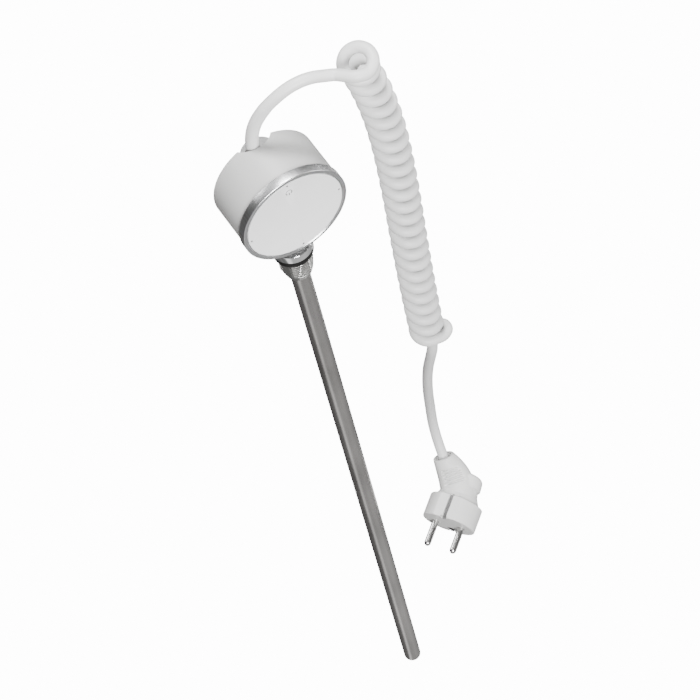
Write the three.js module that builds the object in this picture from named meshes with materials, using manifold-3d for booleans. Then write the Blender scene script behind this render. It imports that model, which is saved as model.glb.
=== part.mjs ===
// Electric heating element for a towel radiator, with a round control head and a curly mains cord.
// Millimetres, +Z up. The origin is on the rod's axis, in the seat plane under the collar.
import * as THREE from 'three';
import { mergeVertices } from 'three/addons/utils/BufferGeometryUtils.js';
import Module from 'manifold-3d';

// ---- driving dimensions ----
const GAP = 0.3; // clearance between touching pieces

// rod, threaded fitting and collar
const ROD_R = 6.0;
const ROD_WALL = 0.8;
const ROD_TIP_Z = -545;
const ROD_TOP_Z = 12;
const CORE_TOP_Z = -2;
const THREAD_R = 10.48; // G1/2 major radius
const THREAD_CORE_R = 9.35;
const THREAD_PITCH = 1.814;
const THREAD_TURNS = 8;
const THREAD_TOP_Z = -4.9;
const THREAD_END_Z = -19.5;
const CONE_END_Z = -25.6;
const FLAT_DISTANCE = 9.1; // milled flats, from the axis
const FLAT_ANGLES = [-70, 50, 170];
const SPIGOT_R = 7.3;
const SPIGOT_TOP_Z = 16;
const COLLAR_R = 12.6;
const COLLAR_HEIGHT = 5.8;
const NECK_R = 9.0;
const NECK_BORE_R = 7.6;
const NECK_TOP_Z = 38;
const SEAT_IN_R = 12.0; // the collar's flat underside, outside the seal
const SEAL_R = 11.9;
const SEAL_HEIGHT = 4.1;

// head: a cylinder lying along Y, its face toward -Y
const HEAD_Z = 58;
const FACE_Y = -22.3;
const HEAD_DEPTH = 36.2;
const REAR_Y = FACE_Y + HEAD_DEPTH;
const HOUSING_R = 32.3;
const HOUSING_WALL = 2.2;
const HOUSING_IN_R = HOUSING_R - HOUSING_WALL;
const RING_R = 33.2;
const RING_BACK = 5.6; // depths are measured back from the face
const RING_IN_R = 27.8;
const DISC_R = 30.2;
const DISC_THICKNESS = 1.6;
const SLEEVE_R = 27.4;
const BULKHEAD_FRONT = 8.2;
const BULKHEAD_BACK = 10.2;
const COVER_FRONT = 34.0;
const COVER_R = 29.7;
const POST_RADIUS = 24; // of the four cover screws' circle
const POST_ANGLES = [50, 130, 230, 310];
const DOT_CIRCLE_R = 29.2;
const DOT_R = 0.5;
const ICON_Z = 22.6; // above the head's axis
const ICON_R = 2.9;
const RIB_COUNT = 6;
const RIB_START = 38; // degrees clockwise from the top of the ring
const RIB_STEP = 3.1;

// swivel boss under the head
const BOSS_R = 13.2;
const BOSS_BORE_R = 11.1;
const BOSS_TOP_Z = 33;

// cord outlet at the top of the head's rear edge
const OUTLET_Y = 9.2;
const GLAND_R = 11.0;
const GLAND_BOTTOM_Z = 74;
const GLAND_TOP_Z = 83.6;
const NOTCH_R = 12.6;
const NOTCH_BEHIND = 6; // notch centre behind the rear edge

// cord
const CORD_R = 3.6;
const COIL_R = 11.6;
const LEAD_POINTS = [
  [-2, 12, 78], [-2, 12, 84], [-1.6, 12, 90], [-0.5, 11.9, 96], [1.4, 11.6, 102], [4.2, 11, 107.6],
  [7.8, 10.1, 112.7], [11.5, 9.1, 116.9], [15.6, 8.1, 120.3], [20, 7.2, 123.1], [24.8, 6.4, 125.2],
  [29.9, 5.6, 126.3], [35.1, 4.9, 126.2], [40.4, 4.2, 124.9], [45.8, 3.2, 122.6], [51.5, 1.2, 121],
];
const COIL_POINTS = [
  [64.5, -1, 126.8], [67.6, 5.6, 111.2], [71.2, 9, 94], [74.1, 10.9, 78.2], [77.5, 12.9, 50],
  [79.1, 14.3, 23.6], [79.6, 15.3, -2.4], [79.2, 16.4, -41], [78.3, 17.6, -80], [77.6, 18.8, -118.4],
  [77.2, 19.9, -157], [77, 20.8, -196.2],
];
const TAIL_POINTS = [
  [84.6, 25.6, -196.6], [84.2, 25.2, -205.5], [81, 24.3, -215], [79.2, 25.1, -227],
  [78.5, 29.8, -243], [78.2, 35.6, -260.5], [78.4, 41.4, -279], [79, 46.8, -297.3],
  [79.8, 51.8, -315.7], [80.6, 56, -333.2], [81.2, 59, -349.3], [81.1, 60.5, -364.4],
  [80.2, 59.2, -377.3], [78.6, 53.9, -387.5], [76.6, 45.8, -394.6],
];

// angled mains plug, built with its pins along +Y and turned into place
const PLUG_FACE = [54, 7.6, -415.1]; // centre of the face between the pins
const PLUG_YAW = 125.3; // degrees, pins from +Y
const PLUG_PITCH = -11.2;
const PLUG_R = 19;
const PLUG_FRONT_DEPTH = 17;
const PLUG_DEPTH = 30;
const PLUG_WAIST_R = 16.2;
const NECK_END = [17.5, -43, 12]; // cord entry, from the face centre
const PLUG_PIN_R = 2.4;
const PLUG_PIN_LENGTH = 19;
const PLUG_PIN_SPACING = 19;
const EARTH_HOLE_R = 2.7;
const EARTH_HOLE_Z = -10;
const EARTH_STRIP_Z = 15.6;

// ---- materials ----
const WHITE = [0xe9e9e7, 0.0, 0.45];
const PALE = [0xd8d8d6, 0.0, 0.5];
const CHROME = [0xd4d6d8, 1.0, 0.12];
const STEEL = [0x9a9794, 1.0, 0.35];
const BRASS = [0xb99a52, 1.0, 0.35];
const RUBBER = [0x151515, 0.0, 0.7];
const BOARD = [0x2c6a45, 0.0, 0.6];
const DARK = [0x2b2b2d, 0.0, 0.5];
const CERAMIC = [0xeae4d6, 0.0, 0.8];
const COPPER = [0xb06f45, 1.0, 0.35];

// ---- shape helpers ----
const wasm = await Module();
wasm.setup();

function signedVolume(geometry) {
  const p = geometry.attributes.position;
  const index = geometry.index.array;
  const [a, b, c] = [new THREE.Vector3(), new THREE.Vector3(), new THREE.Vector3()];
  let volume = 0;
  for (let i = 0; i < index.length; i += 3) {
    a.fromBufferAttribute(p, index[i]);
    b.fromBufferAttribute(p, index[i + 1]);
    c.fromBufferAttribute(p, index[i + 2]);
    volume += a.dot(b.cross(c)) / 6;
  }
  return volume;
}

// A watertight solid from any closed three.js geometry.
function solid(geometry) {
  const plain = new THREE.BufferGeometry();
  plain.setAttribute('position', geometry.attributes.position);
  if (geometry.index) plain.setIndex(geometry.index);
  const welded = mergeVertices(plain, 1e-4);
  const source = welded.index.array;
  const kept = [];
  for (let i = 0; i < source.length; i += 3) {
    const [a, b, c] = [source[i], source[i + 1], source[i + 2]];
    if (a !== b && b !== c && c !== a) kept.push(a, b, c);
  }
  welded.setIndex(kept);
  if (signedVolume(welded) < 0) kept.reverse();
  return new wasm.Manifold(new wasm.Mesh({
    numProp: 3,
    vertProperties: new Float32Array(welded.attributes.position.array),
    triVerts: new Uint32Array(kept),
  }));
}

// A solid of revolution about a vertical axis; profile points are [radius, height].
function turned(profile, segments = 32, axisY = 0) {
  const points = profile.map(([r, h]) => new THREE.Vector2(r, h));
  const [first, last] = [profile[0], profile[profile.length - 1]];
  if (first[0] > 0 || last[0] > 0) points.push(points[0].clone());
  const geometry = new THREE.LatheGeometry(points, segments).rotateX(Math.PI / 2);
  return solid(geometry.translate(0, axisY, 0));
}

// The same about the head's axis; heights are depths back from the face.
function headTurned(profile, segments = 40) {
  const points = profile.map(([r, d]) => new THREE.Vector2(r, FACE_Y + d));
  const [first, last] = [profile[0], profile[profile.length - 1]];
  if (first[0] > 0 || last[0] > 0) points.push(points[0].clone());
  return solid(new THREE.LatheGeometry(points, segments).translate(0, 0, HEAD_Z));
}

function box(size, centre) {
  return solid(new THREE.BoxGeometry(...size).translate(...centre));
}

// A cylinder along Z between two heights.
function post(radius, z0, z1, x = 0, y = 0, segments = 16) {
  const geometry = new THREE.CylinderGeometry(radius, radius, z1 - z0, segments);
  return solid(geometry.rotateX(Math.PI / 2).translate(x, y, (z0 + z1) / 2));
}

// A cylinder along the head's axis between two depths, at x and z from that axis.
function headPost(radius, d0, d1, x, z, segments = 16) {
  const geometry = new THREE.CylinderGeometry(radius, radius, d1 - d0, segments);
  return solid(geometry.translate(x, FACE_Y + (d0 + d1) / 2, HEAD_Z + z));
}

// A round tube along a smooth curve through the points.
function cordTube(points, radius, steps, sides) {
  const path = new THREE.CatmullRomCurve3(points.map((p) => new THREE.Vector3(...p)));
  const circle = new THREE.Shape();
  circle.absarc(0, 0, radius, 0, Math.PI * 2);
  const options = { steps, curveSegments: sides / 2, extrudePath: path };
  return solid(new THREE.ExtrudeGeometry(circle, options));
}

function around(radius, degrees) {
  const a = THREE.MathUtils.degToRad(degrees);
  return [radius * Math.sin(a), radius * Math.cos(a)];
}

const group = new THREE.Group();
group.name = 'radiator_heating_element';

function add(name, body, [color, metalness, roughness], matrix) {
  const mesh = body.getMesh();
  let geometry = new THREE.BufferGeometry();
  geometry.setAttribute('position', new THREE.BufferAttribute(mesh.vertProperties, 3));
  geometry.setIndex(new THREE.BufferAttribute(mesh.triVerts, 1));
  if (matrix) geometry.applyMatrix4(matrix);
  geometry = geometry.toNonIndexed();
  geometry.computeVertexNormals();
  const material = new THREE.MeshStandardMaterial({ color, metalness, roughness });
  const node = new THREE.Mesh(geometry, material);
  node.name = name;
  group.add(node);
}

// ---- rod and its filling ----
add('sheath_tube', turned([
  [0, ROD_TIP_Z], [ROD_R - 2.4, ROD_TIP_Z + 0.3], [ROD_R - 0.8, ROD_TIP_Z + 1.4],
  [ROD_R, ROD_TIP_Z + 3.4], [ROD_R, ROD_TOP_Z], [ROD_R - ROD_WALL, ROD_TOP_Z],
  [ROD_R - ROD_WALL, ROD_TIP_Z + 4], [0, ROD_TIP_Z + 3],
], 24), STEEL);
add('magnesia_core', turned([
  [3.7, ROD_TIP_Z + 6], [4.9, ROD_TIP_Z + 6], [4.9, CORE_TOP_Z], [3.7, CORE_TOP_Z],
], 16), CERAMIC);
add('heating_winding', turned([[2.7, -530], [3.4, -530], [3.4, -60], [2.7, -60]], 16), STEEL);
add('ceramic_mandrel', post(2.4, -532, -40, 0, 0, 12), CERAMIC);
for (const [name, x] of [['terminal_pin_live', -2], ['terminal_pin_neutral', 2]]) {
  add(name, post(0.9, -36, 27, x, 0, 10), STEEL);
}
add('thermal_fuse', post(1.1, -36, -14, 0, -2.3, 10), COPPER);
add('end_seal', turned([[0, -1.5], [4.9, -1.5], [4.9, 11], [0, 11]], 16)
  .subtract(post(1.2, -3, 13, -2, 0, 10))
  .subtract(post(1.2, -3, 13, 2, 0, 10)), RUBBER);

// ---- threaded fitting ----
const fittingProfile = [[ROD_R + GAP, SPIGOT_TOP_Z], [SPIGOT_R, SPIGOT_TOP_Z], [SPIGOT_R, -GAP],
  [9.3, -GAP], [9.3, THREAD_TOP_Z + 0.2]];
for (let i = 0; i < THREAD_TURNS; i += 1) {
  const z = THREAD_TOP_Z - i * THREAD_PITCH;
  fittingProfile.push([THREAD_CORE_R, z], [THREAD_R, z - 0.7], [THREAD_R, z - 1.1]);
}
fittingProfile.push([9.7, THREAD_END_Z], [8.0, CONE_END_Z], [6.9, CONE_END_Z - 1.1],
  [ROD_R + GAP, CONE_END_Z - 1.1]);
let fitting = turned(fittingProfile, 24);
for (const degrees of FLAT_ANGLES) {
  const slab = new THREE.BoxGeometry(24, 10, 15.2);
  slab.translate(0, -FLAT_DISTANCE - 5, (THREAD_TOP_Z + THREAD_END_Z) / 2 - 0.5);
  slab.rotateZ(THREE.MathUtils.degToRad(degrees));
  fitting = fitting.subtract(solid(slab));
}
add('threaded_fitting', fitting, STEEL);
add('seal_ring', turned([
  [9.7, -GAP], [SEAL_R - 0.7, -GAP], [SEAL_R, -GAP - 0.9], [SEAL_R, -GAP - SEAL_HEIGHT + 1],
  [SEAL_R - 0.8, -GAP - SEAL_HEIGHT], [9.7, -GAP - SEAL_HEIGHT],
], 32), RUBBER);
add('earth_lug', turned([[6.4, 16.3], [7.2, 16.3], [7.2, 17.4], [6.4, 17.4]], 20)
  .add(box([0.8, 3, 14], [6.8, 0, 24])), BRASS);

// ---- chrome collar that the head swivels on ----
add('collar', turned([
  [NECK_BORE_R, 0.4], [SEAT_IN_R, 0.4], [SEAT_IN_R, 0], [COLLAR_R - 0.15, 0],
  [COLLAR_R, 0.15], [COLLAR_R, COLLAR_HEIGHT - 0.5],
  [COLLAR_R - 0.5, COLLAR_HEIGHT], [NECK_R + 0.6, COLLAR_HEIGHT], [NECK_R, COLLAR_HEIGHT + 0.8],
  [NECK_R, 34.4], [NECK_R - 0.8, 34.4], [NECK_R - 0.8, 36.2], [NECK_R, 36.2],
  [NECK_R, NECK_TOP_Z], [NECK_BORE_R, NECK_TOP_Z],
], 32), CHROME);
add('retaining_clip', turned([[8.5, 34.7], [11.5, 34.7], [11.5, 35.9], [8.5, 35.9]], 24)
  .subtract(box([5, 8, 4], [0, -11, 35.3])), STEEL);
add('neck_bushing', turned([
  [NECK_R + GAP, 26], [BOSS_BORE_R - GAP, 26], [BOSS_BORE_R - GAP, BOSS_TOP_Z + GAP],
  [12.8, BOSS_TOP_Z + GAP], [12.8, 34.3], [NECK_R + GAP, 34.3],
], 24), PALE);

// ---- housing ----
const bossCutter = post(BOSS_R + 0.4, 20, BOSS_TOP_Z + 2, 0, 0, 32);
const notchCutter = post(NOTCH_R, HEAD_Z + 18, HEAD_Z + 40, 0, REAR_Y + NOTCH_BEHIND, 40);
const housingShell = headTurned([
  [HOUSING_IN_R, RING_BACK + GAP], [HOUSING_R, RING_BACK + GAP], [HOUSING_R, HEAD_DEPTH - 1.2],
  [HOUSING_R - 0.4, HEAD_DEPTH - 0.4], [HOUSING_R - 1.2, HEAD_DEPTH], [HOUSING_IN_R, HEAD_DEPTH],
]);
add('head_housing', housingShell
  .add(post(BOSS_R, HEAD_Z - HOUSING_R - 1.2, BOSS_TOP_Z, 0, 0, 32))
  .subtract(post(BOSS_BORE_R, 20, BOSS_TOP_Z + 1, 0, 0, 32))
  .subtract(notchCutter), WHITE);

let frame = headTurned([
  [0, BULKHEAD_FRONT], [SLEEVE_R - 1.4, BULKHEAD_FRONT], [SLEEVE_R - 1.4, DISC_THICKNESS + GAP],
  [SLEEVE_R, DISC_THICKNESS + GAP], [SLEEVE_R, BULKHEAD_FRONT], [HOUSING_IN_R - 0.4, BULKHEAD_FRONT],
  [HOUSING_IN_R - 0.4, BULKHEAD_BACK], [0, BULKHEAD_BACK],
], 40);
let cover = headTurned([[0, COVER_FRONT], [COVER_R, COVER_FRONT], [COVER_R, HEAD_DEPTH],
  [0, HEAD_DEPTH]], 40);
for (const degrees of POST_ANGLES) {
  const [x, z] = around(POST_RADIUS, degrees);
  frame = frame.add(headPost(2.6, BULKHEAD_BACK - 0.5, COVER_FRONT - GAP, x, z, 12));
  frame = frame.subtract(headPost(1.6, COVER_FRONT - 12, COVER_FRONT, x, z, 12));
  cover = cover.subtract(headPost(1.7, COVER_FRONT - 1, HEAD_DEPTH + 1, x, z, 12));
  cover = cover.subtract(headPost(3.0, HEAD_DEPTH - 1.4, HEAD_DEPTH + 1, x, z, 16));
}
frame = frame.subtract(bossCutter);
add('inner_frame', frame, PALE);
add('back_cover', cover
  .subtract(bossCutter)
  .subtract(box([2 * (GLAND_R + 0.4), 12, 24], [0, REAR_Y, GLAND_BOTTOM_Z - 0.4 + 12])), PALE);
POST_ANGLES.forEach((degrees, i) => {
  const [x, z] = around(POST_RADIUS, degrees);
  add(`cover_screw_${i + 1}`, headPost(1.3, COVER_FRONT - 10, HEAD_DEPTH - 0.6, x, z, 10)
    .add(headPost(2.6, HEAD_DEPTH - 1.1, HEAD_DEPTH - 0.1, x, z, 14)), STEEL);
});

// ---- face, turning ring and the parts behind them ----
let ring = headTurned([
  [RING_IN_R, RING_BACK], [RING_R, RING_BACK], [RING_R, 0.4], [RING_R - 0.6, -0.2],
  [31.3, -0.2], [30.7, 0.4], [30.7, DISC_THICKNESS + 0.6], [RING_IN_R, DISC_THICKNESS + 0.6],
]);
for (let i = 0; i < RIB_COUNT; i += 1) {
  const groove = new THREE.BoxGeometry(0.7, 4.6, 1.6);
  groove.translate(0, FACE_Y + 3.1, RING_R + 0.3);
  groove.rotateY(THREE.MathUtils.degToRad(RIB_START + i * RIB_STEP));
  groove.translate(0, 0, HEAD_Z);
  ring = ring.subtract(solid(groove));
}
add('control_ring', ring, CHROME);
add('encoder_magnet_ring', headTurned([
  [RING_IN_R, 6.0], [29.7, 6.0], [29.7, 7.8], [RING_IN_R, 7.8],
], 32), DARK);

let disc = headTurned([[0, 0], [DISC_R - 0.4, 0], [DISC_R, 0.4], [DISC_R, DISC_THICKNESS],
  [0, DISC_THICKNESS]]);
disc = disc.subtract(headPost(ICON_R + GAP, -1, 3, 0, ICON_Z, 20));
const DOT_ANGLES = [0, 90, 180, 270];
for (const degrees of DOT_ANGLES) {
  const [x, z] = around(DOT_CIRCLE_R - 0.6, degrees);
  disc = disc.subtract(headPost(DOT_R + GAP, -1, 3, x, z, 10));
}
add('face_disc', disc, WHITE);
add('power_symbol_lens', headPost(ICON_R, 0, DISC_THICKNESS, 0, ICON_Z, 20), WHITE);
DOT_ANGLES.forEach((degrees, i) => {
  const [x, z] = around(DOT_CIRCLE_R - 0.6, degrees);
  add(`indicator_light_${i + 1}`, headPost(DOT_R, 0, DISC_THICKNESS, x, z, 10), DARK);
});
add('control_board', headTurned([[0, 4.2], [25.4, 4.2], [25.4, 5.8], [0, 5.8]], 32), BOARD);
add('microcontroller', box([8, 1.4, 8], [0, FACE_Y + 3.2, HEAD_Z - 4]), DARK);

// ---- power electronics behind the bulkhead ----
add('power_board', headTurned([[0, 12.0], [20.5, 12.0], [20.5, 13.6], [0, 13.6]], 32)
  .subtract(box([30, 8, 24], [0, FACE_Y + 12.8, HEAD_Z - 26])), BOARD);
add('relay', box([15, 12, 10], [-9, FACE_Y + 20, HEAD_Z + 2]), DARK);
add('transformer', box([14, 14, 10], [9, FACE_Y + 21, HEAD_Z + 2]), DARK);
add('capacitor', headPost(4.4, 14.0, 28, 0, -9, 16), DARK);
add('terminal_block', box([17, 8, 7], [0, FACE_Y + 19, HEAD_Z + 12]), PALE);
for (let i = 0; i < 3; i += 1) {
  add(`terminal_screw_${i + 1}`, headPost(1.5, 23.4, 24.6, (i - 1) * 5.2, 12, 10), BRASS);
}

// ---- cord outlet ----
add('cord_gland', turned([[0, GLAND_BOTTOM_Z], [GLAND_R, GLAND_BOTTOM_Z],
  [GLAND_R, GLAND_TOP_Z - 0.6], [GLAND_R - 0.6, GLAND_TOP_Z], [0, GLAND_TOP_Z]], 40, OUTLET_Y)
  .subtract(post(CORD_R + 0.5, 77.2, GLAND_TOP_Z + 1, -2, 12, 16)), PALE);
add('cord_clamp', box([16, 5, 2.6], [-2, 8, 72.3]), PALE);
for (const [i, x] of [[1, -7.6], [2, 3.6]]) {
  add(`clamp_screw_${i}`, post(1.9, 69.5, 70.7, x, 8, 10), STEEL);
}

// ---- cord ----
add('cord_lead', cordTube(LEAD_POINTS, CORD_R, 16, 8), WHITE);
add('cord_coil', cordTube(COIL_POINTS, COIL_R, 16, 12), WHITE);
add('cord_tail', cordTube(TAIL_POINTS, CORD_R, 20, 8), WHITE);

// ---- plug ----
const plugTurn = new THREE.Matrix4()
  .makeTranslation(...PLUG_FACE)
  .multiply(new THREE.Matrix4().makeRotationZ(THREE.MathUtils.degToRad(PLUG_YAW)))
  .multiply(new THREE.Matrix4().makeRotationX(THREE.MathUtils.degToRad(PLUG_PITCH)));

// A cylinder along the plug's pins between two distances from its face.
function plugPost(radius, y0, y1, x, z, segments = 16, endRadius = radius) {
  const geometry = new THREE.CylinderGeometry(endRadius, radius, y1 - y0, segments);
  return solid(geometry.translate(x, (y0 + y1) / 2, z));
}

const neckEnd = new THREE.Vector3(...NECK_END);
const neckStart = new THREE.Vector3(-1.5, -18, 0);
const neckAxis = neckEnd.clone().sub(neckStart);
const neckTurn = new THREE.Quaternion()
  .setFromUnitVectors(new THREE.Vector3(0, 1, 0), neckAxis.clone().normalize());
const neckMid = neckStart.clone().lerp(neckEnd, 0.5);
const neckShape = new THREE.CylinderGeometry(6.4, 14, neckAxis.length(), 20)
  .applyQuaternion(neckTurn)
  .translate(neckMid.x, neckMid.y, neckMid.z);
const entryMid = neckEnd.clone().addScaledVector(neckAxis.clone().normalize(), -2);
const entryBore = new THREE.CylinderGeometry(CORD_R + 0.6, CORD_R + 0.6, 8, 16)
  .applyQuaternion(neckTurn)
  .translate(entryMid.x, entryMid.y, entryMid.z);
const rearBlock = new THREE.CylinderGeometry(PLUG_R - 0.6, 15.5, PLUG_DEPTH - 21, 28)
  .translate(-1.5, -(21 + PLUG_DEPTH) / 2, 0);
const stripSlots = [1, -1].map((side) => box([4.4, 19, 4], [0, -8.6, side * (EARTH_STRIP_Z + 1)]));
let plug = plugPost(PLUG_R, -PLUG_FRONT_DEPTH, 0, 0, 0, 36)
  .subtract(box([50, 50, 10], [0, -8, EARTH_STRIP_Z + 6.6]))
  .subtract(box([50, 50, 10], [0, -8, -EARTH_STRIP_Z - 6.6]))
  .add(plugPost(PLUG_WAIST_R, -23, -PLUG_FRONT_DEPTH + 1, 0, 0, 28))
  .add(solid(rearBlock))
  .add(solid(neckShape))
  .subtract(solid(entryBore))
  .subtract(plugPost(EARTH_HOLE_R, -19, 1, 0, EARTH_HOLE_Z, 16));
for (const slot of stripSlots) plug = plug.subtract(slot);
for (const side of [-1, 1]) {
  const x = side * PLUG_PIN_SPACING / 2;
  plug = plug.subtract(plugPost(PLUG_PIN_R + GAP, -8, 1, x, 0, 16));
  const pin = plugPost(PLUG_PIN_R, -7.5, PLUG_PIN_LENGTH - 1.6, x, 0, 16)
    .add(plugPost(PLUG_PIN_R, PLUG_PIN_LENGTH - 1.7, PLUG_PIN_LENGTH, x, 0, 16, 1.2));
  add(side < 0 ? 'plug_pin_left' : 'plug_pin_right', pin, CHROME, plugTurn);
  const strip = box([3.6, 17.6, 0.9], [0, -8.6, side * (EARTH_STRIP_Z - 0.2)]);
  add(side < 0 ? 'earth_strip_lower' : 'earth_strip_upper', strip, STEEL, plugTurn);
}
add('plug_body', plug, WHITE, plugTurn);
add('earth_socket', plugPost(EARTH_HOLE_R - GAP, -18.6, -3, 0, EARTH_HOLE_Z, 14)
  .subtract(plugPost(1.8, -17, 0, 0, EARTH_HOLE_Z, 14)), BRASS, plugTurn);

export default group;
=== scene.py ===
import math

import bmesh
import bpy
import numpy as np
from mathutils import Matrix, Vector


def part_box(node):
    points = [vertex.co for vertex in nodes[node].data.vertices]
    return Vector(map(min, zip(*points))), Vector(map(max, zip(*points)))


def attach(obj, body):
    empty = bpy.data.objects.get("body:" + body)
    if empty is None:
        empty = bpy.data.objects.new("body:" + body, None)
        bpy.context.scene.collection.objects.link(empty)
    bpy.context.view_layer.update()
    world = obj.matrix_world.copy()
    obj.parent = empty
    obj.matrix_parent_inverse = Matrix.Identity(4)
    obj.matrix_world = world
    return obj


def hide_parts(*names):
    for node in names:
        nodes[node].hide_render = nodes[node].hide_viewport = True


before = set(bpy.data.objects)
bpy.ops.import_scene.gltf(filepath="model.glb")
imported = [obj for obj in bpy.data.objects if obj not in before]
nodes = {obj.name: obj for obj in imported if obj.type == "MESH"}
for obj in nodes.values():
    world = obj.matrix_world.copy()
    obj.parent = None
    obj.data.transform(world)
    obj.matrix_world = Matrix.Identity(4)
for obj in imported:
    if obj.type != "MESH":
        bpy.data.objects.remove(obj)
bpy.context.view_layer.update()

MM = 0.001

# ---- sizes, in millimetres, in the frame's axes ----
CORD_R = 3.6
COIL_LINE_R = 8.05  # from the coil's middle line to the cord's
FIRST_TURN_R = 9.6
COIL_TURNS = 24
PITCH_GAIN = 0.58  # the upper turns hang more open
PITCH_FADE = 1.9
LEAD_POINTS = [
    (-2, 12, 78), (-2, 12, 84), (-1.6, 12, 90), (-0.5, 11.9, 96), (1.4, 11.6, 102),
    (4.2, 11, 107.6), (7.8, 10.1, 112.7), (11.5, 9.1, 116.9), (15.6, 8.1, 120.3),
    (20, 7.2, 123.1), (24.8, 6.4, 125.2), (29.9, 5.6, 126.3), (35.1, 4.9, 126.2),
    (40.4, 4.2, 124.9), (45.8, 3.2, 122.6), (51.5, 1.2, 121),
]
COIL_POINTS = [
    (64.5, -1, 126.8), (67.6, 5.6, 111.2), (71.2, 9, 94), (74.1, 10.9, 78.2),
    (77.5, 12.9, 50), (79.1, 14.3, 23.6), (79.6, 15.3, -2.4), (79.2, 16.4, -41),
    (78.3, 17.6, -80), (77.6, 18.8, -118.4), (77.2, 19.9, -157), (77, 20.8, -196.2),
]
TAIL_POINTS = [
    (84.6, 25.6, -196.6), (84.2, 25.2, -205.5), (81, 24.3, -215), (79.2, 25.1, -227),
    (78.5, 29.8, -243), (78.2, 35.6, -260.5), (78.4, 41.4, -279), (79, 46.8, -297.3),
    (79.8, 51.8, -315.7), (80.6, 56, -333.2), (81.2, 59, -349.3), (81.1, 60.5, -364.4),
    (80.2, 59.2, -377.3), (78.6, 53.9, -387.5), (76.6, 45.8, -394.6), (75.2, 40.3, -397.8),
]
# the last turn swings out and back under the coil: across, behind and below the coil's end
RETURN_OFFSETS = [(6, -6, 0.8), (10.8, -3, 1.2), (12.8, 1.8, 1.8), (10.2, 7, 4), (5.4, 8.8, 9)]


def corner(node, which, axis):
    """One coordinate of a CAD node's box, in millimetres; which is 0 for low and 1 for high."""
    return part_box(node)[which][axis] / MM


ROD_R = corner("sheath_tube", 1, 0)
ROD_WALL = 0.8
ROD_TOP_Z = 12
ROD_TIP_Z = corner("sheath_tube", 0, 2)
FLANGE_R = corner("collar", 1, 0)
FITTING_END_Z = corner("threaded_fitting", 0, 2)
FACE_Y = corner("face_disc", 0, 1)
DISC_R = corner("face_disc", 1, 0)
HEAD_Z = (corner("face_disc", 0, 2) + corner("face_disc", 1, 2)) / 2
REAR_Y = corner("back_cover", 1, 1)
HOUSING_R = corner("head_housing", 1, 0)
SHELL_FRONT_Y = corner("head_housing", 0, 1)
RING_R = corner("control_ring", 1, 0)
RING_BACK_Y = corner("control_ring", 1, 1)
GLAND_TOP_Z = corner("cord_gland", 1, 2)
GLAND_R = corner("cord_gland", 1, 0)
GLAND_Y = (corner("cord_gland", 0, 1) + corner("cord_gland", 1, 1)) / 2

# ---- camera, at the photograph's angle ----
CAMERA_AZIMUTH = math.radians(-18.41)
CAMERA_ELEVATION = math.radians(57.60)
CAMERA_ROLL = math.radians(-15.70)
CAMERA_TARGET = Vector((-1.2, -53.9, -43.4)) * MM
CAMERA_DISTANCE = 1.75
CAMERA_LENS = 155.9


def view_axes():
    """The camera's right, up and back directions."""
    a, e = CAMERA_AZIMUTH, CAMERA_ELEVATION
    back = Vector((math.sin(a) * math.cos(e), -math.cos(a) * math.cos(e), math.sin(e)))
    level = Vector((math.cos(a), math.sin(a), 0))
    turn = Matrix.Rotation(CAMERA_ROLL, 3, back)
    right = turn @ level
    return right, back.cross(right), back


VIEW_RIGHT, VIEW_UP, VIEW_BACK = view_axes()


def add_camera():
    data = bpy.data.cameras.new("camera")
    data.lens = CAMERA_LENS
    camera = bpy.data.objects.new("camera", data)
    bpy.context.scene.collection.objects.link(camera)
    turn = Matrix((VIEW_RIGHT, VIEW_UP, VIEW_BACK)).transposed().to_4x4()
    camera.matrix_world = Matrix.Translation(CAMERA_TARGET + VIEW_BACK * CAMERA_DISTANCE) @ turn
    bpy.context.scene.camera = camera


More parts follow.
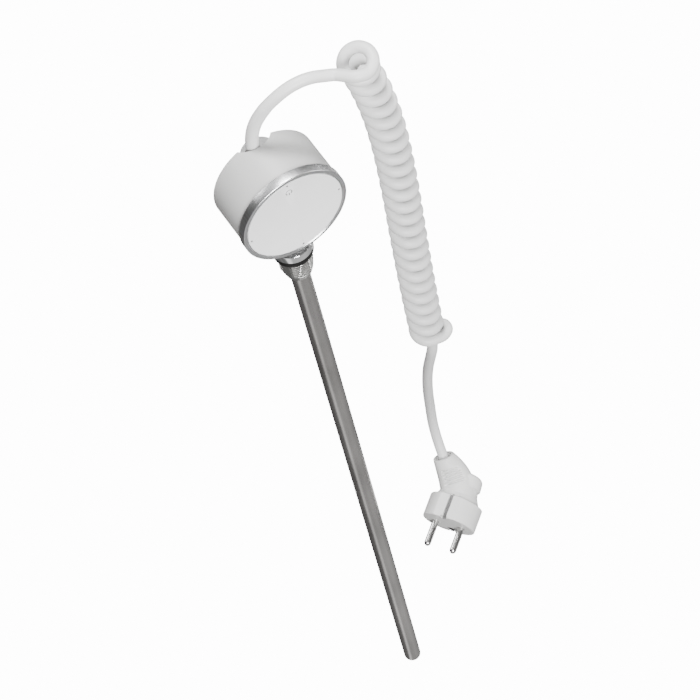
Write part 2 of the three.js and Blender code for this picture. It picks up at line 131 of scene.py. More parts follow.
# ---- materials ----
class Nodes:
    """A material's node tree with its Principled shader, and short ways to add to it."""

    def __init__(self, name, color, roughness, metallic=0.0):
        self.material = bpy.data.materials.new(name)
        self.material.use_nodes = True
        self.tree = self.material.node_tree
        self.shader = self.tree.nodes["Principled BSDF"]
        self.shader.inputs["Base Color"].default_value = (*color, 1)
        self.shader.inputs["Roughness"].default_value = roughness
        self.shader.inputs["Metallic"].default_value = metallic
        self.color = color
        self.place = self.tree.nodes.new("ShaderNodeTexCoord").outputs["Object"]
        self.normal = None

    def noise(self, scale, stretch=(1, 1, 1), detail=3.0):
        mapping = self.tree.nodes.new("ShaderNodeMapping")
        mapping.inputs["Scale"].default_value = stretch
        texture = self.tree.nodes.new("ShaderNodeTexNoise")
        texture.inputs["Scale"].default_value = scale
        texture.inputs["Detail"].default_value = detail
        self.tree.links.new(self.place, mapping.inputs["Vector"])
        self.tree.links.new(mapping.outputs["Vector"], texture.inputs["Vector"])
        return texture.outputs["Fac"]

    def tint(self, pattern, dark, light, low=0.3, high=0.7):
        """The base colour runs from dark to light times the material's own colour."""
        ramp = self.tree.nodes.new("ShaderNodeValToRGB")
        for stop, place, share in zip(ramp.color_ramp.elements, (low, high), (dark, light)):
            stop.position = place
            stop.color = (*(min(1, c * share) for c in self.color), 1)
        self.tree.links.new(pattern, ramp.inputs["Fac"])
        self.tree.links.new(ramp.outputs["Color"], self.shader.inputs["Base Color"])

    def vary_roughness(self, pattern, low, high):
        span = self.tree.nodes.new("ShaderNodeMapRange")
        span.inputs["To Min"].default_value = low
        span.inputs["To Max"].default_value = high
        self.tree.links.new(pattern, span.inputs["Value"])
        self.tree.links.new(span.outputs["Result"], self.shader.inputs["Roughness"])

    def bump(self, pattern, height_mm, strength=1.0):
        node = self.tree.nodes.new("ShaderNodeBump")
        node.inputs["Distance"].default_value = height_mm * MM
        node.inputs["Strength"].default_value = strength
        self.tree.links.new(pattern, node.inputs["Height"])
        if self.normal:
            self.tree.links.new(self.normal, node.inputs["Normal"])
        self.normal = node.outputs["Normal"]
        self.tree.links.new(self.normal, self.shader.inputs["Normal"])


def moulded(name, color, roughness, grain=1400, height=0.02):
    """Moulded plastic: fine grain, faint clouds in its colour and gloss."""
    m = Nodes(name, color, roughness)
    m.tint(m.noise(45), 0.975, 1.02)
    m.vary_roughness(m.noise(160), roughness - 0.05, roughness + 0.07)
    m.bump(m.noise(grain), height)
    return m.material


def polished(name, color, roughness, grain=900):
    m = Nodes(name, color, roughness, 1.0)
    m.tint(m.noise(220), 0.97, 1.0)
    m.vary_roughness(m.noise(grain, (1, 1, 4)), roughness * 0.8, roughness * 1.3)
    return m.material


def brushed(name, color, roughness, stretch, height=0.012):
    """Metal with fine lines along the direction in which its pattern is least stretched."""
    m = Nodes(name, color, roughness, 1.0)
    lines = m.noise(60, stretch, 5)
    m.tint(lines, 0.86, 1.1)
    m.vary_roughness(m.noise(90), roughness - 0.06, roughness + 0.08)
    m.bump(lines, height)
    return m.material


def drawn_steel():
    """The rod: streaks along its length, darker heat-tinted clouds and fine pitting."""
    m = Nodes("drawn_steel", (0.46, 0.445, 0.43), 0.3, 1.0)
    streaks = m.noise(700, (1, 1, 0.02), 4)
    m.tint(m.noise(60, (1, 1, 0.3), 6), 0.78, 1.14)
    m.vary_roughness(streaks, 0.2, 0.36)
    m.bump(streaks, 0.02)
    m.bump(m.noise(2600), 0.008)
    return m.material


def rubber():
    m = Nodes("seal_rubber", (0.004, 0.004, 0.004), 0.5)
    m.shader.inputs["Specular IOR Level"].default_value = 0.2
    m.tint(m.noise(300), 0.7, 1.6)
    m.vary_roughness(m.noise(500), 0.4, 0.58)
    m.bump(m.noise(2200), 0.02)
    return m.material


MATERIALS = {
    # the shell is the same white plastic as the face, drawn darker grey: painted shade
    "shell": moulded("shell_plastic_painted_shade", (0.42, 0.42, 0.415), 0.42),
    "face": moulded("face_plastic", (0.78, 0.78, 0.78), 0.34, 2600, 0.006),
    "cord": moulded("cord_pvc", (0.66, 0.66, 0.655), 0.46, 900, 0.03),
    "plug": moulded("plug_plastic", (0.63, 0.63, 0.62), 0.44, 1500, 0.02),
    # the gland is pale plastic drawn dark grey: painted shade of the notch it sits in
    "gland": moulded("gland_painted_shade", (0.24, 0.24, 0.24), 0.5),
    "pale": moulded("pale_plastic", (0.62, 0.62, 0.61), 0.5),
    "mark": moulded("mark_ink", (0.03, 0.03, 0.032), 0.6, 2600, 0.004),
    "dark": moulded("dark_plastic", (0.05, 0.05, 0.055), 0.45),
    "board": moulded("board_laminate", (0.05, 0.2, 0.1), 0.5, 500, 0.03),
    "ceramic": moulded("packed_powder", (0.75, 0.72, 0.64), 0.85, 2000, 0.08),
    "chrome": polished("polished_chrome", (0.86, 0.865, 0.87), 0.07),
    "pin": polished("plug_pin_nickel", (0.6, 0.595, 0.585), 0.16, 60),
    # the earth contacts and earth sleeve are pale steel and brass drawn nearly black: painted shade of their
    # slots and hole
    "contact": brushed("contact_steel_painted_shade", (0.1, 0.1, 0.1), 0.45, (1, 1, 8)),
    "brass": polished("brass", (0.7, 0.52, 0.24), 0.3),
    "ring": brushed("ring_satin_chrome", (0.55, 0.555, 0.56), 0.3, (34, 0.5, 34), 0.03),
    "thread": brushed("turned_steel", (0.66, 0.655, 0.64), 0.24, (0.6, 0.6, 25)),
    "clip": brushed("spring_steel", (0.4, 0.4, 0.41), 0.33, (10, 1, 1)),
    "rod": drawn_steel(),
    "rubber": rubber(),
}

# ---- mesh helpers; points are in millimetres ----
SHARP = math.radians(38)


def piece(name, verts, faces, material, body, slot, replaced=(), sharp=SHARP):
    """A finished piece of the object: its mesh, material, body and the CAD nodes that it stands for; slot is
    not used.
    """
    mesh = bpy.data.meshes.new(name)
    mesh.from_pydata([tuple(c * MM for c in v) for v in verts], [], [tuple(map(int, f)) for f in faces])
    work = bmesh.new()
    work.from_mesh(mesh)
    bmesh.ops.remove_doubles(work, verts=work.verts, dist=1e-7)
    bmesh.ops.recalc_face_normals(work, faces=work.faces)
    work.to_mesh(mesh)
    work.free()
    mesh.shade_smooth()
    mesh.set_sharp_from_angle(angle=sharp)
    mesh.materials.append(MATERIALS[material])
    obj = bpy.data.objects.new(name, mesh)
    bpy.context.scene.collection.objects.link(obj)
    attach(obj, body)
    if replaced:
        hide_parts(*replaced)
    return obj


def rounded(profile, radii, steps=5):
    """An outline with arcs for corners; radii names the radius at each corner that has one."""
    out = []
    for i, point in enumerate(profile):
        p = np.array(point, float)
        radius = radii.get(i, 0)
        if not radius:
            out.append(tuple(p))
            continue
        before = np.array(profile[i - 1], float) - p
        after = np.array(profile[(i + 1) % len(profile)], float) - p
        before /= np.linalg.norm(before)
        after /= np.linalg.norm(after)
        half = math.acos(max(-1, min(1, float(before @ after)))) / 2
        reach = radius / math.tan(half)
        middle = (before + after) / np.linalg.norm(before + after)
        centre = p + middle * radius / math.sin(half)
        start, end = p + before * reach - centre, p + after * reach - centre
        sweep = math.pi - 2 * half
        turn = 1 if start[0] * end[1] - start[1] * end[0] > 0 else -1
        for k in range(steps + 1):
            a = turn * sweep * k / steps
            out.append((centre[0] + start[0] * math.cos(a) - start[1] * math.sin(a),
                        centre[1] + start[0] * math.sin(a) + start[1] * math.cos(a)))
    return out


def rings(rows, segments, closed=True):
    """Faces between rows of points round an axis; closed joins the last row to the first."""
    faces = []
    for i in range(rows if closed else rows - 1):
        j = (i + 1) % rows
        for k in range(segments):
            m = (k + 1) % segments
            faces.append((i * segments + k, i * segments + m, j * segments + m, j * segments + k))
    return faces


def lathe(profile, segments=128):
    """Vertices and faces of a closed outline of (radius, height) points turned about +Z."""
    verts = []
    for radius, height in profile:
        for k in range(segments):
            a = 2 * math.pi * k / segments
            verts.append((radius * math.cos(a), radius * math.sin(a), height))
    rows = len(profile)
    return verts, rings(rows, segments)


def moved(verts, matrix):
    return [tuple(matrix @ Vector(v)) for v in verts]


def joined(*parts):
    verts, faces = [], []
    for v, f in parts:
        start = len(verts)
        verts += v
        faces += [tuple(i + start for i in face) for face in f]
    return verts, faces


# a turned shape's heights become places along Y
HEAD_FRAME = Matrix.Translation((0, 0, HEAD_Z)) @ Matrix.Rotation(-math.pi / 2, 4, "X")


def head_lathe(profile, segments=192, at=(0, 0)):
    """A turned shape about a line along Y; profile points are (radius, y)."""
    verts, faces = lathe(profile, segments)
    return moved(verts, Matrix.Translation((at[0], 0, at[1])) @ HEAD_FRAME), faces


def bake(obj):
    """Makes what the piece's modifiers give its own mesh."""
    bpy.context.view_layer.update()
    ready = obj.evaluated_get(bpy.context.evaluated_depsgraph_get())
    result = bpy.data.meshes.new_from_object(ready)
    obj.modifiers.clear()
    old = obj.data
    obj.data = result
    bpy.data.meshes.remove(old)


def cut(obj, *cutters):
    """Takes closed (vertices, faces) shapes out of a piece."""
    for verts, faces in cutters:
        mesh = bpy.data.meshes.new("cutter")
        mesh.from_pydata([tuple(c * MM for c in v) for v in verts], [], faces)
        tool = bpy.data.objects.new("cutter", mesh)
        bpy.context.scene.collection.objects.link(tool)
        work = bmesh.new()
        work.from_mesh(mesh)
        bmesh.ops.remove_doubles(work, verts=work.verts, dist=1e-7)
        bmesh.ops.recalc_face_normals(work, faces=work.faces)
        work.to_mesh(mesh)
        work.free()
        modifier = obj.modifiers.new("cut", "BOOLEAN")
        modifier.object = tool
        modifier.operation = "DIFFERENCE"
        modifier.solver = "EXACT"
        bake(obj)
        bpy.data.objects.remove(tool)
        bpy.data.meshes.remove(mesh)
    obj.data.set_sharp_from_angle(angle=SHARP)


def block(size, centre, turn=None):
    x, y, z = (s / 2 for s in size)
    corners = [(i * x, j * y, k * z) for i in (-1, 1) for j in (-1, 1) for k in (-1, 1)]
    matrix = Matrix.Translation(centre) @ (turn.to_4x4() if turn else Matrix.Identity(4))
    faces = [(0, 1, 3, 2), (4, 6, 7, 5), (0, 4, 5, 1), (2, 3, 7, 6), (0, 2, 6, 4), (1, 5, 7, 3)]
    return moved(corners, matrix), faces


def drum(radius, z0, z1, segments=96):
    """A closed cylinder along Z."""
    return lathe([(1e-4, z0), (radius, z0), (radius, z1), (1e-4, z1)], segments)


# ---- the cord ----
def smooth_line(points, per_span=16):
    """A centripetal Catmull-Rom line through the points."""
    p = np.array(points, float)
    q = np.vstack([2 * p[0] - p[1], p, 2 * p[-1] - p[-2]])
    out = []
    for i in range(1, len(q) - 2):
        a, b, c, d = q[i - 1:i + 3]
        t0 = 0.0
        t1 = t0 + np.linalg.norm(b - a) ** 0.5
        t2 = t1 + np.linalg.norm(c - b) ** 0.5
        t3 = t2 + np.linalg.norm(d - c) ** 0.5
        for t in np.linspace(t1, t2, per_span, endpoint=False):
            ab = (t1 - t) / (t1 - t0) * a + (t - t0) / (t1 - t0) * b
            bc = (t2 - t) / (t2 - t1) * b + (t - t1) / (t2 - t1) * c
            cd = (t3 - t) / (t3 - t2) * c + (t - t2) / (t3 - t2) * d
            left = (t2 - t) / (t2 - t0) * ab + (t - t0) / (t2 - t0) * bc
            right = (t3 - t) / (t3 - t1) * bc + (t - t1) / (t3 - t1) * cd
            out.append((t2 - t) / (t2 - t1) * left + (t - t1) / (t2 - t1) * right)
    out.append(p[-1])
    return np.array(out)


def arc_lengths(line):
    return np.concatenate([[0], np.cumsum(np.linalg.norm(np.diff(line, axis=0), axis=1))])


def evenly(line, count):
    lengths = arc_lengths(line)
    places = np.linspace(0, lengths[-1], count)
    return np.stack([np.interp(places, lengths, line[:, k]) for k in range(3)], 1)


def ease(t):
    t = np.clip(t, 0, 1)
    return t * t * (3 - 2 * t)


def coil_line(per_turn=24):
    """The cord's middle line round the coil, and the frame (across, behind, along, centre) at its end."""
    axis = smooth_line(COIL_POINTS, 60)
    lengths = arc_lengths(axis)
    turns = np.arange(COIL_TURNS * per_turn + 1) / per_turn
    along = turns + PITCH_GAIN * PITCH_FADE * (1 - np.exp(-turns / PITCH_FADE))
    along *= lengths[-1] / along[-1]
    centres = np.stack([np.interp(along, lengths, axis[:, k]) for k in range(3)], 1)
    tangents = np.gradient(centres, axis=0)
    tangents /= np.linalg.norm(tangents, axis=1)[:, None]
    across = np.array(VIEW_RIGHT)
    line = []
    for turn, centre, tangent in zip(turns, centres, tangents):
        across = across - tangent * (across @ tangent)
        across /= np.linalg.norm(across)
        behind = np.cross(across, tangent)
        radius = COIL_LINE_R + (FIRST_TURN_R - COIL_LINE_R) * ease(1 - turn)
        angle = 2 * math.pi * turn - math.pi / 2
        line.append(centre + radius * (math.cos(angle) * across + math.sin(angle) * behind))
    return np.array(line), (across, behind, tangents[-1], centres[-1])


def cord_line():
    coil, (across, behind, along, end) = coil_line()
    swing = [end + a * across + b * behind + c * along for a, b, c in RETURN_OFFSETS]
    points = np.vstack([LEAD_POINTS, coil[::3], swing, TAIL_POINTS[2:]])
    line = smooth_line(points, 6)
    return evenly(line, 4 * int(arc_lengths(line)[-1] / 3.6) + 1)


def tube(line, radii, sides=28):
    """A round tube along a line, its ends closed, with a radius at each point."""
    tangents = np.gradient(line, axis=0)
    tangents /= np.linalg.norm(tangents, axis=1)[:, None]
    side = np.array((1.0, 0.0, 0.0))
    verts = []
    for p, t, r in zip(line, tangents, radii):
        side = side - t * (side @ t)
        side /= np.linalg.norm(side)
        other = np.cross(t, side)
        for k in range(sides):
            a = 2 * math.pi * k / sides
            verts.append(tuple(p + r * (math.cos(a) * side + math.sin(a) * other)))
    rows = len(line)
    faces = rings(rows, sides, closed=False)
    faces.append(tuple(range(sides)))
    faces.append(tuple((rows - 1) * sides + k for k in range(sides)))
    return verts, faces


add_camera()
CORD_LINE = cord_line()
mains_cord = piece("mains_cord", *tube(CORD_LINE, np.full(len(CORD_LINE), CORD_R)), "cord", "head",
                   "white_cord", ("cord_lead", "cord_coil", "cord_tail"), math.radians(80))


def add_cord_sleeve():
    """A slim tapered relief that the cord leaves the gland in, ending in a soft lip."""
    line = CORD_LINE[arc_lengths(CORD_LINE) < 44]
    share = np.linspace(0, 1, len(line))
    radii = 4.02 - 0.3 * share ** 0.8
    radii[-3:] = (CORD_R + 0.1, CORD_R + 0.05, CORD_R - 0.1)
    return piece("cord_sleeve", *tube(line, radii, 36), "cord", "head", "white_cord",
                 sharp=math.radians(80))


cord_sleeve = add_cord_sleeve()

# ---- rod, threaded fitting, seal and collar ----
def add_rod():
    outline = rounded([
        (0, ROD_TIP_Z), (ROD_R, ROD_TIP_Z), (ROD_R, ROD_TOP_Z), (ROD_R - ROD_WALL, ROD_TOP_Z),
        (ROD_R - ROD_WALL, ROD_TIP_Z + 4), (0, ROD_TIP_Z + 3),
    ], {1: 3.4, 2: 0.2}, 12)
    piece("heater_rod", *lathe(outline, 96), "rod", "fitting", "stainless", ("sheath_tube",))


THREAD_CORE = 9.35
THREAD_CREST = 10.48
THREAD_PITCH = 1.814
THREAD_TOP_Z = -4.7
THREAD_END_Z = -19.5
FLAT_DISTANCE = 9.1
FLAT_ANGLES = (-160, -40, 80)  # of the outward normals of the milled flats


def fitting_radius(angle, z):
    """The fitting's outer radius under the seal: a helical thread with three milled flats, then a cone."""
    if z < THREAD_END_Z:
        share = (THREAD_END_Z - z) / (THREAD_END_Z - FITTING_END_Z)
        radius = float(np.interp(share, (0, 0.06, 0.72, 0.8, 1), (9.7, 9.6, 8.15, 7.9, 6.9)))
    else:
        phase = (z / THREAD_PITCH + angle / (2 * math.pi)) % 1
        ridge = float(ease((0.5 - abs(phase - 0.5)) * 3.4 - 0.35))
        ends = float(ease((THREAD_TOP_Z - z) / 0.9) * ease((z - THREAD_END_Z) / 1.2))
        radius = THREAD_CORE + (THREAD_CREST - THREAD_CORE) * ridge * ends
    for degrees in FLAT_ANGLES:
        across = math.cos(angle - math.radians(degrees))
        if across > 0.5 and z < THREAD_TOP_Z:
            radius = min(radius, FLAT_DISTANCE / across)
    return radius


def add_fitting():
    segments = 240
    inner = ROD_R + 0.2
    fixed = [(inner, FITTING_END_Z), (inner, 16), (7.1, 16), (7.3, 15.8), (7.3, -0.3), (9.3, -0.3)]
    thread_heights = np.arange(-0.5, THREAD_END_Z, -0.1)
    cone_heights = np.arange(THREAD_END_Z, FITTING_END_Z, -0.25)
    heights = np.concatenate([thread_heights, cone_heights])
    rows = [[(r, z)] * segments for r, z in fixed]
    for z in [*heights, FITTING_END_Z]:
        rows.append([(fitting_radius(2 * math.pi * k / segments, z) if z < -0.6 else 9.35, z)
                     for k in range(segments)])
    verts = []
    for row in rows:
        for k, (r, z) in enumerate(row):
            a = 2 * math.pi * k / segments
            verts.append((r * math.cos(a), r * math.sin(a), z))
    piece("thread_fitting", verts, rings(len(rows), segments), "thread", "fitting", "stainless",
          ("threaded_fitting",), math.radians(32))


def add_seal_and_collar():
    seal = rounded([(9.7, -0.3), (12.3, -0.3), (12.3, -4.6), (9.7, -4.6)], {1: 0.6, 2: 0.9})
    piece("flat_seal", *lathe(seal), "rubber", "fitting", "black_rubber", ("seal_ring",))
    collar = rounded([
        (7.6, 0.4), (12.0, 0.4), (12.0, 0), (FLANGE_R, 0), (FLANGE_R, 5.8), (9.0, 5.8), (9.0, 34.4),
        (8.2, 34.4), (8.2, 36.2), (9.0, 36.2), (9.0, 38), (7.6, 38),
    ], {3: 0.35, 4: 0.45, 5: 0.8, 10: 0.3})
    piece("chrome_collar", *lathe(collar, 160), "chrome", "fitting", "chrome", ("collar",))


# ---- head ----
def around(radius, degrees):
    """X and Z of a place clockwise from the head's top, seen from the face."""
    a = math.radians(degrees)
    return radius * math.sin(a), HEAD_Z + radius * math.cos(a)


SCREW_CIRCLE_R = 24
SCREW_PLACES = [around(SCREW_CIRCLE_R, degrees) for degrees in (50, 130, 230, 310)]
BOSS_BORE_R = 11.1
BOSS_R = 13.2
BOSS_LOW_Z = 24.5
BOSS_TOP_Z = 33
DOT_CIRCLE_R = 28.6
ICON_ABOVE_AXIS = 22.6
GROOVE_COUNT = 6
GROOVE_START = 38  # degrees clockwise from the ring's top
GROOVE_STEP = 3.1
NOTCH_R = 12.6
NOTCH_Y = REAR_Y + 6


def shifted_drum(radius, z0, z1, x, y, segments=96):
    verts, faces = drum(radius, z0, z1, segments)
    return moved(verts, Matrix.Translation((x, y, 0))), faces


def head_drum(radius, y0, y1, x, z, segments=48):
    return head_lathe([(0, y0), (radius, y0), (radius, y1), (0, y1)], segments, (x, z - HEAD_Z))


def add_shell():
    inner = HOUSING_R - 2.2
    outline = rounded([(inner, SHELL_FRONT_Y), (HOUSING_R, SHELL_FRONT_Y), (HOUSING_R, REAR_Y),
                       (inner, REAR_Y)], {1: 0.35, 2: 1.3, 3: 0.3}, 6)
    shell = piece("head_shell", *head_lathe(outline), "shell", "head", "white_plastic", ("head_housing",))
    bore = drum(BOSS_BORE_R, 20, 34, 128)
    notch = shifted_drum(NOTCH_R, HEAD_Z + 18, HEAD_Z + 40, 0, NOTCH_Y, 160)
    cut(shell, bore, notch)
    boss = rounded([(BOSS_BORE_R, BOSS_LOW_Z), (BOSS_R, BOSS_LOW_Z), (BOSS_R, BOSS_TOP_Z),
                    (BOSS_BORE_R, BOSS_TOP_Z)], {0: 0.2, 1: 0.6})
    piece("swivel_boss", *lathe(boss, 128), "shell", "head", "white_plastic")


def add_gland():
    outline = rounded([(0, 74), (GLAND_R, 74), (GLAND_R, GLAND_TOP_Z), (0, GLAND_TOP_Z)], {2: 0.9}, 6)
    verts, faces = lathe(outline, 128)
    gland = piece("outlet_gland", moved(verts, Matrix.Translation((0, GLAND_Y, 0))), faces, "gland", "head",
                  "pale_plastic", ("cord_gland",))
    cut(gland, shifted_drum(4.6, 77.2, GLAND_TOP_Z + 1, -2, 12, 64))


def add_back_cover():
    outline = rounded([(0, REAR_Y - 2.2), (29.8, REAR_Y - 2.2), (29.8, REAR_Y), (27.6, REAR_Y),
                       (27.2, REAR_Y - 0.4), (0, REAR_Y - 0.4)], {2: 0.5, 3: 0.2, 4: 0.2})
    cover = piece("rear_cover", *head_lathe(outline), "shell", "head", "pale_plastic", ("back_cover",))
    cut(cover, drum(13.6, 20, 35, 128), block((22.8, 12, 24), (0, REAR_Y, 85.6)),
        *(head_drum(3.1, REAR_Y - 1.4, REAR_Y + 1, x, z) for x, z in SCREW_PLACES))
    for i, (x, z) in enumerate(SCREW_PLACES, 1):
        head = rounded([(0, REAR_Y - 12), (1.3, REAR_Y - 12), (1.3, REAR_Y - 1.3), (2.6, REAR_Y - 1.3),
                        (2.6, REAR_Y - 0.45), (0, REAR_Y - 0.3)], {4: 0.35})
        screw = piece(f"rear_screw_{i}", *head_lathe(head, 48, (x, z - HEAD_Z)), "pin", "head",
                      "stainless", (f"cover_screw_{i}",))
        turn = Matrix.Rotation(0.4 * i, 3, "Y")
        cut(screw, block((3.2, 2, 0.6), (x, REAR_Y, z), turn), block((0.6, 2, 3.2), (x, REAR_Y, z), turn))


def add_ring():
    outline = rounded([
        (27.8, RING_BACK_Y), (RING_R, RING_BACK_Y), (RING_R, FACE_Y - 0.2), (31.2, FACE_Y - 0.2),
        (30.6, FACE_Y + 0.5), (30.6, FACE_Y + 2.2), (27.8, FACE_Y + 2.2),
    ], {1: 0.3, 2: 0.75, 3: 0.3}, 6)
    ring = piece("turning_ring", *head_lathe(outline, 256), "ring", "ring", "chrome", ("control_ring",))
    for i in range(GROOVE_COUNT):
        turn = math.radians(GROOVE_START + GROOVE_STEP * i)
        place = Matrix.Translation((0, 0, HEAD_Z)) @ Matrix.Rotation(turn, 4, "Y")
        verts, faces = block((0.75, 4.4, 1.3), (0, FACE_Y + 2.9, RING_R + 0.2))
        cut(ring, (moved(verts, place), faces))


def add_face():
    outline = rounded([(0, FACE_Y + 1.6), (DISC_R, FACE_Y + 1.6), (DISC_R, FACE_Y), (29.6, FACE_Y),
                       (29.3, FACE_Y + 0.12), (0, FACE_Y + 0.12)], {2: 0.25})
    face = piece("face_plate", *head_lathe(outline, 256), "face", "head", "white_plastic", ("face_disc",))
    dots = [around(DOT_CIRCLE_R, degrees) for degrees in (0, 90, 180, 270)]
    icon_z = HEAD_Z + ICON_ABOVE_AXIS
    cut(face, head_drum(2.95, FACE_Y - 1, FACE_Y + 3, 0, icon_z),
        *(head_drum(0.62, FACE_Y - 1, FACE_Y + 3, x, z) for x, z in dots))
    lens = rounded([(0, FACE_Y + 1.6), (2.9, FACE_Y + 1.6), (2.9, FACE_Y + 0.12), (0, FACE_Y + 0.12)],
                   {2: 0.08})
    piece("icon_lens", *head_lathe(lens, 96, (0, ICON_ABOVE_AXIS)), "face", "head", "white_plastic",
          ("power_symbol_lens",))
    for i, (x, z) in enumerate(dots, 1):
        dot = rounded([(0, FACE_Y + 1.6), (0.55, FACE_Y + 1.6), (0.55, FACE_Y + 0.1), (0, FACE_Y)], {2: 0.1})
        piece(f"face_light_{i}", *head_lathe(dot, 32, (x, z - HEAD_Z)), "mark", "head", "dark_plastic",
              (f"indicator_light_{i}",))
    # the power symbol, its opening and stroke toward the rod
    verts, faces = [], []
    steps = 60
    for k in range(steps + 1):
        a = math.radians(-90 + 38 + (360 - 76) * k / steps)
        for radius, y in ((1.68, 0.14), (1.68, 0.06), (2.1, 0.06), (2.1, 0.14)):
            verts.append((radius * math.cos(a), FACE_Y + y, icon_z + radius * math.sin(a)))
    for k in range(steps):
        for j in range(4):
            m = (j + 1) % 4
            faces.append((4 * k + j, 4 * k + m, 4 * k + 4 + m, 4 * k + 4 + j))
    faces += [(0, 1, 2, 3), (4 * steps, 4 * steps + 1, 4 * steps + 2, 4 * steps + 3)]
    stroke = block((0.42, 0.08, 2.0), (0, FACE_Y + 0.1, icon_z - 1.35))
    piece("power_symbol", *joined((verts, faces), stroke), "mark", "head", "dark_plastic")


# ---- plug ----
PLUG = (Matrix.Translation((54, 7.6, -415.1)) @ Matrix.Rotation(math.radians(125.3), 4, "Z")
        @ Matrix.Rotation(math.radians(-11.2), 4, "X"))
ALONG_PINS = Matrix.Rotation(-math.pi / 2, 4, "X")
PLUG_R = 19
PLUG_FRONT_DEPTH = 17
PLUG_FLAT_Z = 17.2
PIN_R = 2.4
PIN_OFFSET = 9.5
EARTH_HOLE_R = 2.7
EARTH_HOLE_Z = -10
RIB_START = 12.5  # along the neck
RIB_STEP = 2.7
RIB_COUNT = 5
RIB_DEPTH = 1.3
NECK_START = Vector((-1.5, -18, 0))
NECK_END = Vector((17.5, -43, 12))


def plug_lathe(profile, segments, x=0, z=0):
    verts, faces = lathe(profile, segments)
    return moved(verts, PLUG @ Matrix.Translation((x, 0, z)) @ ALONG_PINS), faces


def neck_frame():
    turn = (NECK_END - NECK_START).to_track_quat("Z", "Y").to_matrix().to_4x4()
    return PLUG @ Matrix.Translation(NECK_START) @ turn


def plug_block(size, centre):
    verts, faces = block(size, centre)
    return moved(verts, PLUG), faces


def neck_shape(segments=96):
    """The tapering neck: grip ribs on its two broad sides, its mouth tilted toward the upper one."""
    turn = (NECK_END - NECK_START).to_track_quat("Z", "Y").to_matrix()
    side = turn.inverted() @ Vector((0, 0, 1))
    facing = math.atan2(side.y, side.x)
    length = (NECK_END - NECK_START).length
    axis = (NECK_END - NECK_START).normalized()
    swell = turn.inverted() @ Vector((axis.y, -axis.x, 0)).normalized()
    outline = [(0, 0, 0)]
    for s in np.linspace(0, length, 160):
        rib = (s - RIB_START) / RIB_STEP
        groove = float(ease(1.6 - abs(rib % 1 - 0.5) * 5)) if 0 < rib < RIB_COUNT else 0
        outline.append((12.6 - 5.2 * (s / length) ** 2.5, s, RIB_DEPTH * groove))
    outline += [(5.7, length, 0), (5.5, length - 1.6, 0), (0, length - 1.6, 0)]
    verts = []
    for radius, s, groove in outline:
        tilt = 0.36 * float(ease((s / length - 0.55) / 0.4))
        shift = 2.7 * math.sin(math.pi * s / length)
        for k in range(segments):
            a = 2 * math.pi * k / segments
            toward = math.cos(a - facing)
            r = radius - groove * float(ease((abs(toward) - 0.76) / 0.12))
            verts.append((r * math.cos(a) + shift * swell.x, r * math.sin(a) + shift * swell.y,
                          s - tilt * r * toward))
    return verts, rings(len(outline), segments, closed=False)


def fused(name, parts, voxel, rounds):
    """One smooth moulded body from overlapping closed shapes."""
    obj = piece(name, *joined(*parts), "plug", "head", "white_plug", ("plug_body",))
    remesh = obj.modifiers.new("fuse", "REMESH")
    remesh.mode = "VOXEL"
    remesh.voxel_size = voxel * MM
    relax = obj.modifiers.new("relax", "SMOOTH")
    relax.iterations = rounds
    relax.factor = 0.5
    bake(obj)
    obj.data.shade_smooth()
    return obj


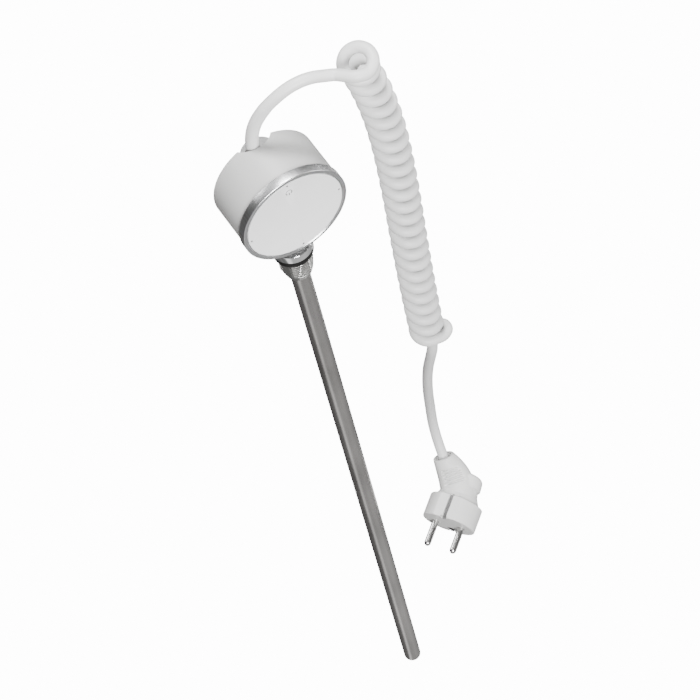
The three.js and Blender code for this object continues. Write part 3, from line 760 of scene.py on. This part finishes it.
def add_plug():
    disc = rounded([(0, 0), (PLUG_R, 0), (PLUG_R, -PLUG_FRONT_DEPTH), (0, -PLUG_FRONT_DEPTH)],
                   {1: 0.7, 2: 0.7})
    verts, faces = lathe(disc, 160)
    flat = [(x, y, max(-PLUG_FLAT_Z, min(PLUG_FLAT_Z, z))) for x, y, z in moved(verts, ALONG_PINS)]
    waist = [(0, -15), (16.8, -15), (15.0, -19.5), (12.6, -24), (11.4, -30), (0, -30)]
    grip = rounded([(0, -28), (13.2, -28), (12.4, -37.5), (0, -39)], {1: 1.0, 2: 4.0})
    verts, neck_faces = neck_shape()
    body = fused("plug_moulding", [
        (moved(flat, PLUG), faces), plug_lathe(waist, 128), plug_lathe(grip, 128),
        (moved(verts, neck_frame()), neck_faces),
    ], 0.33, 3)
    bore, bore_faces = drum(4.5, 26, 40, 64)
    cut(body, (moved(bore, neck_frame()), bore_faces),
        plug_lathe([(0, -19), (EARTH_HOLE_R, -19), (EARTH_HOLE_R, 1), (0, 1)], 64, 0, EARTH_HOLE_Z),
        *(plug_lathe([(0, -8), (2.65, -8), (2.65, 1), (0, 1)], 64, side * PIN_OFFSET) for side in (-1, 1)),
        *(plug_block((2.9, 19, 4), (0, -8.6, side * 16.6)) for side in (-1, 1)),
        *(plug_block((4.6, 2.2, 4.6), (0.4, -0.2, side * 16.4)) for side in (-1, 1)))
    for side, name in ((-1, "left"), (1, "right")):
        tip = [(PIN_R * math.cos(a), 16.2 + 2.8 * math.sin(a)) for a in np.linspace(0, math.pi / 2, 12)]
        outline = [(0, -7.5), (PIN_R, -7.5), *tip]
        piece(f"contact_pin_{name}", *plug_lathe(outline, 64, side * PIN_OFFSET), "pin", "head", "chrome",
              (f"plug_pin_{name}",))
    # the earth contacts are pale steel; their near-black colour is painted shade of the slots they lie in
    for side, name in ((-1, "lower"), (1, "upper")):
        rows = []
        for y in np.linspace(-17.4, 0.2, 25):
            bow = 0.4 * math.sin(math.pi * (y + 17.4) / 17.6)
            corners = ((-1.2, 14.4), (1.2, 14.4), (1.2, 15), (-1.2, 15))
            rows.append([(x, y, side * (z + bow - 0.2)) for x, z in corners])
        verts = moved([p for row in rows for p in row], PLUG)
        faces = [(4 * i + j, 4 * i + (j + 1) % 4, 4 * i + 4 + (j + 1) % 4, 4 * i + 4 + j)
                 for i in range(24) for j in range(4)]
        faces += [(0, 1, 2, 3), (96, 97, 98, 99)]
        piece(f"earth_contact_{name}", verts, faces, "contact", "head", "stainless", (f"earth_strip_{name}",))
    # the earth sleeve is brass; its near-black colour is painted shade inside the earth hole
    sleeve = [(1.9, -18.6), (2.66, -18.6), (2.66, -0.3), (2.2, -0.3), (1.9, -0.6)]
    piece("earth_sleeve", *plug_lathe(sleeve, 64, 0, EARTH_HOLE_Z), "contact", "head", "brass",
          ("earth_socket",))


add_rod()
add_fitting()
add_seal_and_collar()
add_shell()
add_gland()
add_back_cover()
add_ring()
add_face()
add_plug()

# ---- the pieces that the CAD shapes already show well ----
KEPT = {
    "magnesia_core": "ceramic", "ceramic_mandrel": "ceramic", "heating_winding": "clip",
    "terminal_pin_live": "clip", "terminal_pin_neutral": "clip", "thermal_fuse": "brass",
    "end_seal": "rubber", "earth_lug": "brass", "retaining_clip": "clip", "encoder_magnet_ring": "dark",
    "neck_bushing": "pale", "inner_frame": "pale", "control_board": "board", "microcontroller": "dark",
    "power_board": "board", "relay": "dark", "transformer": "dark", "capacitor": "dark",
    "terminal_block": "pale", "terminal_screw_1": "brass", "terminal_screw_2": "brass",
    "terminal_screw_3": "brass", "cord_clamp": "pale", "clamp_screw_1": "clip", "clamp_screw_2": "clip",
}
for name, material in KEPT.items():
    for place in nodes[name].material_slots:
        place.material = MATERIALS[material]


# ---- floor, world and lights ----
# light and dark cards round the object, which only reflections and soft light see
FLOOR_CARDS = ((0, 0.1), (0.055, 0.18), (0.08, 1), (0.115, 1), (0.15, 0.42), (0.34, 0.5), (0.5, 0.3),
               (0.62, 0.11), (0.93, 0.1), (1, 0.16))
SKY = ((0, 0.06), (0.25, 0.1), (0.6, 0.24), (1, 0.4))


def shades(tree, stops):
    """A grey ramp of (position, value) stops."""
    ramp = tree.nodes.new("ShaderNodeValToRGB")
    while len(ramp.color_ramp.elements) < len(stops):
        ramp.color_ramp.elements.new(0.5)
    for stop, (position, value) in zip(ramp.color_ramp.elements, stops):
        stop.position = position
        stop.color = (value, value, value, 1)
    return ramp


def add_floor():
    mesh = bpy.data.meshes.new("floor")
    mesh.from_pydata([(-15, -15, -0.56), (15, -15, -0.56), (15, 15, -0.56), (-15, 15, -0.56)], [],
                     [(0, 1, 2, 3)])
    material = bpy.data.materials.new("floor_white")
    material.use_nodes = True
    tree = material.node_tree
    tree.nodes.clear()
    seen = tree.nodes.new("ShaderNodeEmission")
    seen.inputs["Strength"].default_value = 14
    lit = tree.nodes.new("ShaderNodeEmission")
    lit.inputs["Strength"].default_value = 1.3
    round_about = tree.nodes.new("ShaderNodeTexGradient")
    round_about.gradient_type = "RADIAL"
    place = tree.nodes.new("ShaderNodeTexCoord")
    cards = shades(tree, FLOOR_CARDS)
    tree.links.new(place.outputs["Object"], round_about.inputs["Vector"])
    tree.links.new(round_about.outputs["Fac"], cards.inputs["Fac"])
    tree.links.new(cards.outputs["Color"], lit.inputs["Color"])
    mix = tree.nodes.new("ShaderNodeMixShader")
    rays = tree.nodes.new("ShaderNodeLightPath")
    output = tree.nodes.new("ShaderNodeOutputMaterial")
    tree.links.new(rays.outputs["Is Camera Ray"], mix.inputs["Fac"])
    tree.links.new(lit.outputs["Emission"], mix.inputs[1])
    tree.links.new(seen.outputs["Emission"], mix.inputs[2])
    tree.links.new(mix.outputs["Shader"], output.inputs["Surface"])
    mesh.materials.append(material)
    floor = bpy.data.objects.new("floor", mesh)
    bpy.context.scene.collection.objects.link(floor)


def add_world():
    """White overhead, grey at the horizon, so that polished metal has something to mirror."""
    world = bpy.data.worlds.new("studio")
    bpy.context.scene.world = world
    world.use_nodes = True
    tree = world.node_tree
    background = tree.nodes["Background"]
    place = tree.nodes.new("ShaderNodeTexCoord")
    split = tree.nodes.new("ShaderNodeSeparateXYZ")
    ramp = shades(tree, SKY)
    tree.links.new(place.outputs["Generated"], split.inputs["Vector"])
    tree.links.new(split.outputs["Z"], ramp.inputs["Fac"])
    tree.links.new(ramp.outputs["Color"], background.inputs["Color"])
    seen = tree.nodes.new("ShaderNodeBackground")
    seen.inputs["Strength"].default_value = 14
    mix = tree.nodes.new("ShaderNodeMixShader")
    rays = tree.nodes.new("ShaderNodeLightPath")
    tree.links.new(rays.outputs["Is Camera Ray"], mix.inputs["Fac"])
    tree.links.new(background.outputs["Background"], mix.inputs[1])
    tree.links.new(seen.outputs["Background"], mix.inputs[2])
    tree.links.new(mix.outputs["Shader"], tree.nodes["World Output"].inputs["Surface"])


def add_light(name, at, size, watts, towards=(0, 0, -0.1)):
    data = bpy.data.lights.new(name, "AREA")
    data.shape = "RECTANGLE"
    data.size, data.size_y = size
    data.energy = watts
    light = bpy.data.objects.new(name, data)
    bpy.context.scene.collection.objects.link(light)
    light.location = at
    light.rotation_euler = (Vector(towards) - Vector(at)).to_track_quat("-Z", "Y").to_euler()


add_floor()
add_world()
add_light("overhead", (0.25, 0.35, 1.5), (0.45, 0.45), 50)
add_light("front", (-0.25, -1.45, 0.75), (0.6, 0.6), 66)
add_light("right", (1.5, -0.4, 0.5), (0.4, 1.0), 15)
add_light("rear", (-0.6, 1.4, 0.9), (0.9, 0.5), 18)

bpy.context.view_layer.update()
